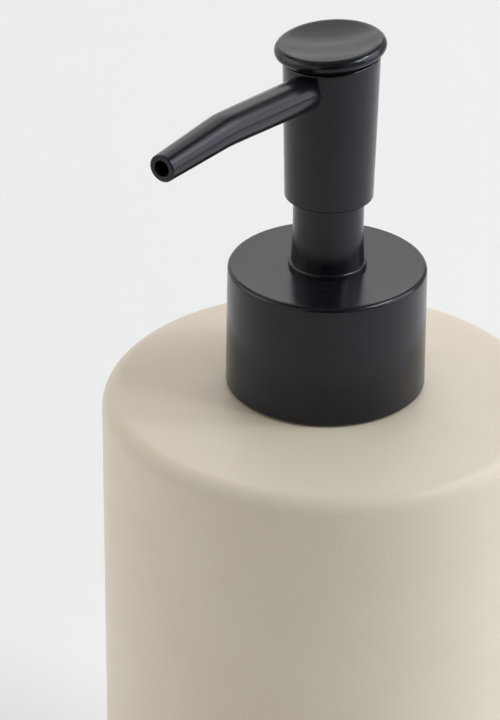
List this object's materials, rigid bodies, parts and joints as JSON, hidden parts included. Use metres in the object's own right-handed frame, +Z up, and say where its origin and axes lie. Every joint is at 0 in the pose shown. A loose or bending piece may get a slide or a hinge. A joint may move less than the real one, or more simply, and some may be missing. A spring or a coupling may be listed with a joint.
{
  "type": "soap pump dispenser",
  "caption": "Round stoneware soap bottle with a screw-on lotion pump: smooth black collar, sliding head, tilted dished button and slim tapered spout.",
  "frame": {"origin": "on the pump's axis, at the plane that the bottle stands on", "axes": "+Z up along the bottle and the pump; the spout points towards -Y and -X, 33.6 degrees round from -Y"},
  "size_m": [0.075, 0.0765, 0.1774],
  "materials": {
    "stoneware": "satin beige glaze with faint speckle",
    "black_plastic": "satin black moulded plastic",
    "white_plastic": "natural white moulded plastic",
    "clear_plastic": "milky translucent polypropylene",
    "piston_plastic": "soft polyethylene",
    "foam_gasket": "foamed polyethylene",
    "soft_seal": "soft seal",
    "bond": "cured bond ring",
    "steel": "stainless steel"
  },
  "bodies": {
    "bottle": {"bottle_body": "stoneware", "neck_insert": "clear_plastic", "neck_seal": "bond"},
    "pump_body": {"pump_housing": "clear_plastic", "closure_gasket": "foam_gasket", "stem_guide": "white_plastic", "stem_wiper": "soft_seal", "dip_tube": "clear_plastic", "ball_cage": "white_plastic"},
    "closure": {"closure_shell": "black_plastic", "closure_liner": "white_plastic"},
    "spring": {"return_spring": "steel"},
    "head": {"head_shell": "black_plastic", "head_core": "white_plastic", "button_disc": "black_plastic", "spout_tube": "black_plastic", "stem": "white_plastic", "piston_seat": "white_plastic"},
    "piston": {"piston": "piston_plastic"},
    "ball": {"inlet_ball": "steel"}
  },
  "joints": [
    {"name": "pump_rise", "type": "slide", "parent": "bottle", "child": "pump_body", "axis": [0, 0, 1], "range_m": [0, 0.00635]},
    {"name": "closure_turn", "type": "hinge", "parent": "pump_body", "child": "closure", "pos_m": [0, 0, 0.1155], "axis": [0, 0, 1], "range_deg": [0, 540]},
    {"name": "head_press", "type": "slide", "parent": "pump_body", "child": "spring", "axis": [0, 0, 1], "range_m": [-0.011, 0], "stiffness_N_per_m": 700, "springref_m": 0.008, "deforming": ["return_spring"]},
    {"name": "head_swivel", "type": "hinge", "parent": "spring", "child": "head", "pos_m": [0, 0, 0.1495], "axis": [0, 0, 1], "continuous": true},
    {"name": "piston_slip", "type": "slide", "parent": "head", "child": "piston", "axis": [0, 0, 1], "range_m": [0, 0.0012]},
    {"name": "ball_lift", "type": "slide", "parent": "pump_body", "child": "ball", "axis": [0, 0, 1], "range_m": [0, 0.0015]}
  ],
  "couplings": [
    {"joint": "closure_turn", "follows": "pump_rise", "rad_per_m": 1484.3}
  ]
}
